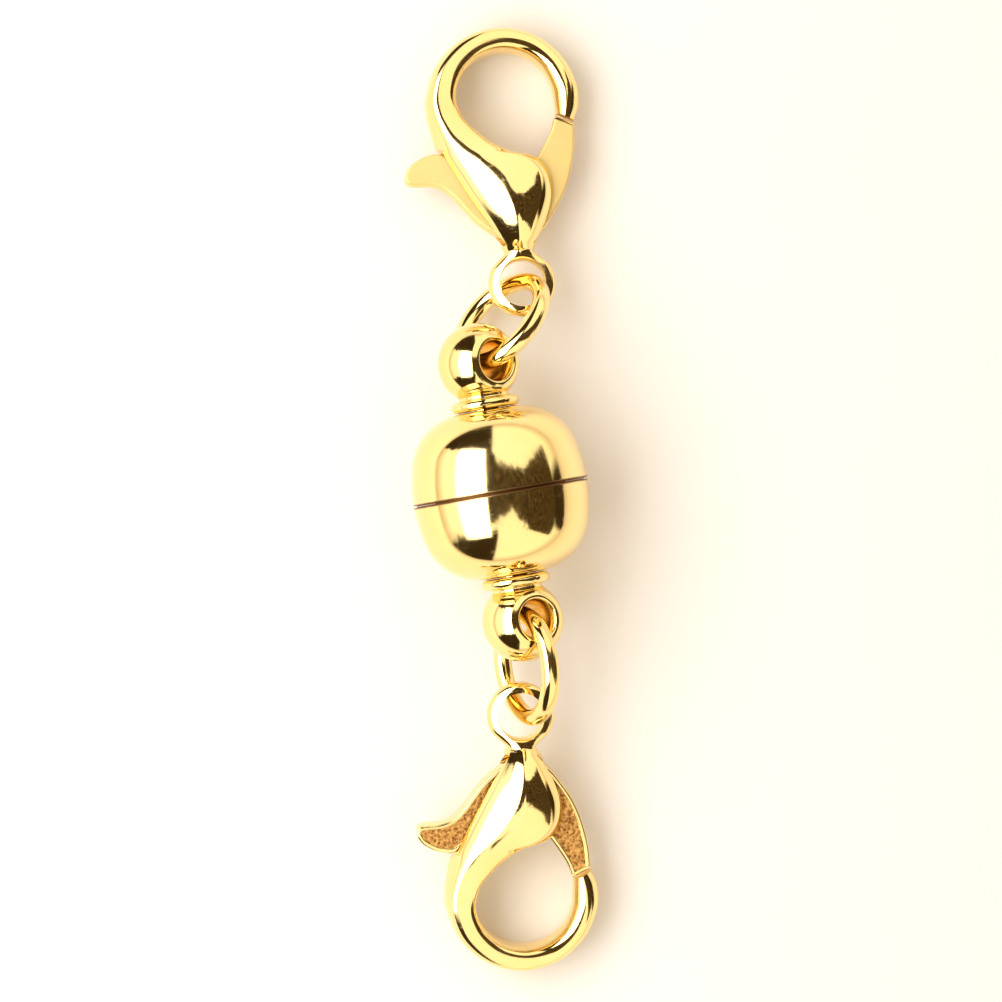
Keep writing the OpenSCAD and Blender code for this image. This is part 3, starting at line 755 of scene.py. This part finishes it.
def claw_rows(claw):
    """All sections as outer point, inner point, half thickness and flatness."""
    hook, hole, eye = claw.hook_d / 2, claw.hook_hole_d / 2, claw.eye_d / 2
    a = np.radians(EYE_ROWS[:, 0])
    s = EYE_ROWS[:, 1] * claw.eye_t / 2
    across, along = eye * np.sin(a), -eye * np.cos(a)
    eyes = np.stack([-across, along, across, along, s, 0 * s + EYE_FLATNESS], 1)
    body = BODY_ROWS * [hook, claw.claw_len, hook, claw.claw_len, claw.belly_t / 2, 1]
    out, inn = np.radians(HOOK_ROWS[:, 0]), np.radians(HOOK_ROWS[:, 2])
    p = hook_middle(claw) + (HOOK_ROWS[:, 1] * hook)[:, None] * np.stack([np.cos(out), np.sin(out)], 1)
    q = hook_hole_middle(claw) + (HOOK_ROWS[:, 3] * hole)[:, None] * np.stack([np.cos(inn), np.sin(inn)], 1)
    arm = np.concatenate([p, q, HOOK_ROWS[:, 4:] * [claw.belly_t / 2, 1]], 1)
    return np.concatenate([eyes, body, arm])


def claw_grid(claw):
    """The claw's skin: along it the smooth curve through its sections, round it the section's half
    outline mirrored below; a point lies between outer and inner edge by its share across, and off
    the middle plane by its share of the half thickness, mixed from ridge and flat by the flatness."""
    sections = smooth_rows(claw_rows(claw), 10)
    half = smooth_rows(SECTION_ROWS, 5)
    loop = np.concatenate([half, (half * [1, -1, -1])[-2:0:-1]])[None]
    outer, inner = sections[:, None, 0:2], sections[:, None, 2:4]
    thick, flatness = sections[:, None, 4:5], sections[:, None, 5:6]
    level = (outer + inner + loop[..., 0:1] * (inner - outer)) / 2
    height = (loop[..., 1:2] + flatness * (loop[..., 2:3] - loop[..., 1:2])) * thick
    return np.concatenate([level, height], 2)


def cutter_prism(outline, half, place, name):
    """Straight prism over a closed outline, from minus half to plus half of its height."""
    ring = np.stack([np.concatenate([outline, np.full((len(outline), 1), z)], 1) for z in (-half, half)])
    return outwards(make_piece(name, [(put(ring, place), False, True)], end_caps(ring)))


def cutter_eye(claw, place):
    """Hole of the eye with rounded mouths: its radius grows by a quarter circle towards each face."""
    hole, swell, half = claw.eye_hole_d / 2, 0.14 * (claw.eye_d - claw.eye_hole_d), claw.eye_t / 2
    phi = np.radians(np.linspace(-84, 84, 29))
    waist = np.stack([hole + swell * (1 - np.cos(phi)), 1.08 * half * np.sin(phi)], 1)
    ends = np.array([waist[-1] + [0.2 * swell, 0.3 * MM], waist[-1] + [0.2 * swell, 1.5 * MM]])
    profile = np.concatenate([ends[::-1] * [1, -1], waist, ends])
    grid = turned_profile(profile, 96, place)
    return outwards(make_piece("eye_cutter", [(grid, False, True)], end_caps(grid)))


def carve(piece, cutters, sharp):
    """Cuts the cutters out of a piece, keeps the result in its mesh and removes the cutters."""
    for cutter in cutters:
        cut = piece.modifiers.new("cut", "BOOLEAN")
        cut.operation, cut.solver, cut.object = "DIFFERENCE", "EXACT", cutter
    bpy.context.view_layer.update()
    carved = bpy.data.meshes.new_from_object(piece.evaluated_get(bpy.context.evaluated_depsgraph_get()))
    piece.modifiers.clear()
    piece.data = carved
    for cutter in cutters:
        bpy.data.objects.remove(cutter)
    carved.shade_smooth()
    carved.set_sharp_from_angle(angle=np.radians(sharp))
    if len(carved.polygons) < 100:
        raise RuntimeError(f"{piece.name} lost its shape when it was cut")
    return piece


def claw_body(side):
    """The claw's skin with flat ends, and the lever's slot and the eye's hole cut out of it."""
    claw = settings("clasp_claw")
    place = claw_place(side)
    grid = put(claw_grid(claw), place)
    piece = outwards(make_piece(f"claw_{SIDES[side]}", [(grid, False, True)], end_caps(grid)))
    slot, reach = SLOT_ROWS * [claw.hook_d / 2, claw.claw_len], claw.lever_t / 2 + claw.lever_play
    return carve(piece, [cutter_prism(slot, reach, place, "slot_cutter"), cutter_eye(claw, place)], 38)


def lever_outline(claw):
    """Closed outline of the lever: the smooth curve through its rows, closed by the gate's end,
    which stands off the hook's tip by the tip gap."""
    tip = claw_rows(claw)[-1]
    outer, inner = tip[0:2], tip[2:4]
    side = unit(np.array([inner[1] - outer[1], outer[0] - inner[0]]))
    rows = np.concatenate([[outer - claw.tip_gap * side], LEVER_ROWS * [claw.hook_d / 2, claw.claw_len],
                           [inner - claw.tip_gap * side]])
    return smooth_rows(rows, 10)


def inset(outline, amount):
    """Outline moved inwards by an amount along its own normals: the normal is the tangent, taken
    from the two neighbours, turned by a right angle."""
    tangent = np.roll(outline, -1, 0) - np.roll(outline, 1, 0)
    tangent /= np.linalg.norm(tangent, axis=1)[:, None]
    return outline + amount * np.stack([tangent[:, 1], -tangent[:, 0]], 1)


def lever_plate(side):
    """Flat lever: its outline at a row of insets and heights, which run from the smooth face over
    a rounded edge, down the wall, round the other edge, over the rim and down to the grained face."""
    claw = settings("clasp_claw")
    outline = lever_outline(claw)
    e, half = claw.lever_edge, claw.lever_t / 2
    bend = np.radians(np.linspace(90, 0, 6))
    top = np.stack([e * (1 - np.cos(bend)), half - e + e * np.sin(bend)], 1)
    bottom = (top * [1, -1])[::-1]
    step = np.array([[claw.rim_w, -half], [claw.rim_w + 0.02 * MM, -half + 0.3 * claw.rim_h],
                     [claw.rim_w + 0.05 * MM, -half + claw.rim_h]])
    levels = np.concatenate([[[e + 0.05 * MM, half]], top, bottom, step])
    rings = np.stack([np.concatenate([inset(outline, d), np.full((len(outline), 1), z)], 1) for d, z in levels])
    grid = put(rings, claw_place(side))
    marks = np.zeros(grid.shape[:2])
    marks[-1] = 1
    sheets = [(grid, False, True)]
    return outwards(make_piece(f"lever_{SIDES[side]}", sheets, end_caps(grid), sharp=30, marks=marks.ravel()))


# Operators

class CLASP_OT_half_barrels(bpy.types.Operator):
    """Turns the two gold-plated half barrels"""
    bl_idname = "clasp.half_barrels"
    bl_label = "Half barrels"

    def execute(self, context):
        for side, name in SIDES.items():
            gold = polished_gold(f"barrel gold {name}", 0.004, 1.5, seam=True)
            finish_piece(half_barrel(side), gold, f"{name}_half", "barrel_gold", f"shell_{name}")
        return {"FINISHED"}


class CLASP_OT_ball_posts(bpy.types.Operator):
    """Makes the drilled balls with their collars and stems"""
    bl_idname = "clasp.ball_posts"
    bl_label = "Ball posts"

    def execute(self, context):
        for side, name in SIDES.items():
            # The balls' bores get the painted reflection of deeper orange
            gold = polished_gold(f"post gold {name}", 0.004, 0.7, marked="hollow")
            finish_piece(ball_post(side), gold, f"{name}_half", "post_gold", f"ball_post_{name}")
        return {"FINISHED"}


class CLASP_OT_jump_rings(bpy.types.Operator):
    """Bends the two jump rings of round wire"""
    bl_idname = "clasp.jump_rings"
    bl_label = "Jump rings"

    def execute(self, context):
        for side, name in SIDES.items():
            gold = polished_gold(f"ring gold {name}", 0.003, 0.2)
            finish_piece(jump_ring(side), gold, f"{name}_half", "ring_gold", f"jump_ring_{name}")
        return {"FINISHED"}


class CLASP_OT_claws(bpy.types.Operator):
    """Casts the two lobster claws with their slots and eyes"""
    bl_idname = "clasp.claws"
    bl_label = "Lobster claws"

    def execute(self, context):
        for side, name in SIDES.items():
            gold = polished_gold(f"claw gold {name}", 0.006, 0.9)
            finish_piece(claw_body(side), gold, f"{name}_half", "claw_gold", f"lobster_body_{name}")
        return {"FINISHED"}


class CLASP_OT_levers(bpy.types.Operator):
    """Cuts the two levers with thumb tab and gate"""
    bl_idname = "clasp.levers"
    bl_label = "Levers"

    def execute(self, context):
        finish = settings("clasp_finish")
        for side, name in SIDES.items():
            satin = finish.satin_upper if side == UPPER else finish.satin_lower
            gold = polished_gold(f"lever gold {name}", 0.006, 0.9, satin, marked="grain")
            slot = "lever_gold" if side == UPPER else "lever_gold_grained"
            finish_piece(lever_plate(side), gold, f"{name}_lever", slot, f"trigger_{name}")
        return {"FINISHED"}


class CLASP_OT_inner_parts(bpy.types.Operator):
    """Gives the magnets and pivot pins, kept as the frame has them, their finishes"""
    bl_idname = "clasp.inner_parts"
    bl_label = "Magnets and pins"

    def execute(self, context):
        finish = settings("clasp_finish")
        # Past this edge the magnets' rims get the painted shade of the seam
        magnet_edge = settings("clasp_barrel").pocket_r - 0.08 * MM
        nickel = plain_metal("magnet nickel", tuple(finish.nickel), 0.22, 1500, magnet_edge)
        steel = plain_metal("pin steel", tuple(finish.steel), 0.3, 4000)
        for node, material in (("magnet", nickel), ("pivot_pin", steel)):
            for name in SIDES.values():
                mesh = frame["nodes"][f"{node}_{name}"].data
                mesh.materials.clear()
                mesh.materials.append(material)
        return {"FINISHED"}


class CLASP_OT_studio(bpy.types.Operator):
    """Lays the floor and sets the room, the dark card, the soft box and the camera"""
    bl_idname = "clasp.studio"
    bl_label = "Studio"

    def execute(self, context):
        studio = settings("clasp_studio")
        self.lay_floor(studio)
        self.set_room(studio)
        self.hang_card(studio)
        self.hang_soft_box(studio)
        self.set_camera(studio)
        return {"FINISHED"}

    def lay_floor(self, studio):
        side = np.array([-1.0, 1.0]) * 1.5
        x, y = np.meshgrid(side, side, indexing="xy")
        floor = make_piece("floor", [(np.stack([x, y, 0 * x], 2), False, False)])
        paint = Paint("floor paper")
        where = paint.place()
        tone = paint.blend(paint.stretch(paint.noise(where, 60, 2.0), 0.3, 0.7), tuple(studio.floor),
                           tuple(0.985 * v for v in studio.floor))
        surface = paint.node("ShaderNodeBsdfPrincipled", {}, {"Base Color": tone, "Roughness": 0.7,
                                                              "Specular IOR Level": 0.1})
        floor.data.materials.append(paint.close(surface))

    def set_room(self, studio):
        """What a ray meets when it leaves the clasp, worked out from its direction x, y, z. The metal
        mirrors pale walls, a dark far end at the right, and dark gaps past the ends of the soft box
        at the left. The floor gets even warm light, and the camera sees a pale backdrop."""
        room = Paint("studio room", bpy.data.worlds)
        where = room.place(turn=(0, 0, studio.roll), source="Generated")
        x, y, z = room.parts(where)
        horizon, box_side, box_end, box_slope = 0.93, 0.12, 0.5, 0.42
        ragged = 0.45 * (room.noise(where, 7, 5.0, 0.7) - 0.5)
        far_end = room.edge(x - horizon) * room.edge(box_end - abs(y))
        gaps = (room.edge(-box_side - x) * room.edge(abs(y) - box_end + ragged)
                * room.edge(abs(y) - box_slope * abs(x)))
        walls = room.blend(room.stretch(x, -0.7, 0.9), studio.room_left, studio.room_right)
        walls = room.blend(room.stretch(z, 0.0, 0.18, 1.0, 0.0), walls, studio.room_low)
        mirrored = room.blend(far_end.larger(gaps), walls, studio.room_dark)
        camera = room.node("ShaderNodeLightPath", {}, {}, output="Is Camera Ray")
        diffuse = room.node("ShaderNodeLightPath", {}, {}, output="Is Diffuse Ray")
        seen = room.blend(camera, room.blend(diffuse, mirrored, studio.room_fill), studio.backdrop)
        level = studio.room_level
        strength = level + camera * (1 - level) + diffuse * (studio.fill_level - level)
        surface = room.node("ShaderNodeBackground", {}, {"Color": seen, "Strength": strength})
        bpy.context.scene.world = room.close(surface, "ShaderNodeOutputWorld")

    def hang_card(self, studio):
        """Dark card over the clasp that only mirrored rays see. In shares u and v of the card's height
        it is dark from v = -near - 0.6 |u - 0.2| to v = far, which rises on to the left of u = 0 and
        to the right of u = 0.6. Its edges and its tone are ragged."""
        height, near, far = studio.card_height, 0.19, 0.38
        u, v = np.meshgrid([-0.3, 3.2], [-2.2, 2.3])
        c, s = np.cos(studio.roll), np.sin(studio.roll)
        rolled = np.array([[c, -s, 0], [s, c, 0], [0, 0, 1]])
        grid = np.stack([u * height, v * height, height + 0 * u], 2) @ rolled
        card = make_piece("dark_card", [(grid, False, False)])
        paint = Paint("dark card")
        where = paint.place(turn=(0, 0, studio.roll))
        u, v = (part / height for part in paint.parts(where)[:2])
        ragged = 0.55 * (paint.noise(where, 70, 6.0, 0.75) - 0.5)
        top = far + 1.5 * (0 - u).larger(0) + 0.7 * (u - 0.6).larger(0)
        bottom = near + 0.6 * abs(u - 0.2)
        dark = paint.edge(top - v + ragged) * paint.edge(v + bottom + ragged)
        clear = paint.node("ShaderNodeBsdfTransparent", {}, {})
        shade = paint.blend(paint.stretch(paint.noise(where, 120, 5.0, 0.7), 0.42, 0.72),
                            tuple(0.5 * v for v in studio.room_dark), tuple(5.0 * v for v in studio.room_dark))
        black = paint.node("ShaderNodeEmission", {}, {"Color": shade, "Strength": studio.room_level})
        surface = paint.node("ShaderNodeMixShader", {}, {0: dark, 1: clear, 2: black})
        card.data.materials.append(paint.close(surface))
        card.visible_camera = card.visible_diffuse = card.visible_shadow = False

    def hang_soft_box(self, studio):
        """Lit rectangle that faces the clasp from the left, turned with the camera by its roll. Its
        power is its radiance times pi times its area."""
        away = np.array([-np.sin(studio.key_tilt), 0, np.cos(studio.key_tilt)])
        side = unit(np.cross([0, 1, 0], away))
        axes = np.stack([side, np.cross(away, side), away], 1)
        data = bpy.data.lights.new("key soft box", "AREA")
        data.shape, data.size, data.size_y = "RECTANGLE", studio.key_width, studio.key_length
        data.energy = studio.key_level * np.pi * studio.key_width * studio.key_length
        lamp = bpy.data.objects.new("key soft box", data)
        lamp.visible_camera = False
        lamp.matrix_world = (Matrix.Rotation(-studio.roll, 4, "Z")
                             @ Matrix.Translation(Vector(away * studio.key_distance))
                             @ Matrix(axes.tolist()).to_4x4())
        bpy.context.scene.collection.objects.link(lamp)

    def set_camera(self, studio):
        """Straight above, turned by the roll, with a long lens."""
        lens, sensor = 200.0, 36.0
        aim = barrel_middle() + np.array([studio.aim_across, studio.aim_along, 0])
        distance = studio.field * lens / sensor
        data = bpy.data.cameras.new("camera")
        data.lens, data.sensor_width = lens, sensor
        data.clip_start, data.clip_end = 0.01, 10
        camera = bpy.data.objects.new("camera", data)
        camera.matrix_world = (Matrix.Translation(Vector((aim[0], aim[1], aim[2] + distance)))
                               @ Matrix.Rotation(-studio.roll, 4, "Z"))
        bpy.context.scene.collection.objects.link(camera)
        bpy.context.scene.camera = camera
        bpy.context.scene.view_settings.view_transform = "Standard"


OPERATORS = (CLASP_OT_half_barrels, CLASP_OT_ball_posts, CLASP_OT_jump_rings, CLASP_OT_claws,
             CLASP_OT_levers, CLASP_OT_inner_parts, CLASP_OT_studio)


class CLASP_PT_panel(bpy.types.Panel):
    """Lists the clasp's operators and sizes in the sidebar"""
    bl_idname = "CLASP_PT_panel"
    bl_label = "Magnetic clasp"
    bl_space_type = "VIEW_3D"
    bl_region_type = "UI"
    bl_category = "Clasp"

    def draw(self, context):
        for operator in OPERATORS:
            self.layout.operator(operator.bl_idname)
        for name, group in GROUPS.items():
            box = self.layout.box()
            for value in group.__annotations__:
                box.prop(getattr(context.scene, name), value)


def register():
    """Registers the classes and hangs the property groups on the scene."""
    for kind in (*GROUPS.values(), *OPERATORS, CLASP_PT_panel):
        bpy.utils.register_class(kind)
    for name, group in GROUPS.items():
        setattr(bpy.types.Scene, name, bpy.props.PointerProperty(type=group))


def unregister():
    """Takes away what register added."""
    for name in GROUPS:
        delattr(bpy.types.Scene, name)
    for kind in (CLASP_PT_panel, *reversed(OPERATORS), *GROUPS.values()):
        bpy.utils.unregister_class(kind)


def main():
    """Runs every operator in order."""
    register()
    for operator in OPERATORS:
        group, name = operator.bl_idname.split(".")
        getattr(getattr(bpy.ops, group), name)()
    bpy.context.view_layer.update()


if __name__ == "__main__":
    main()
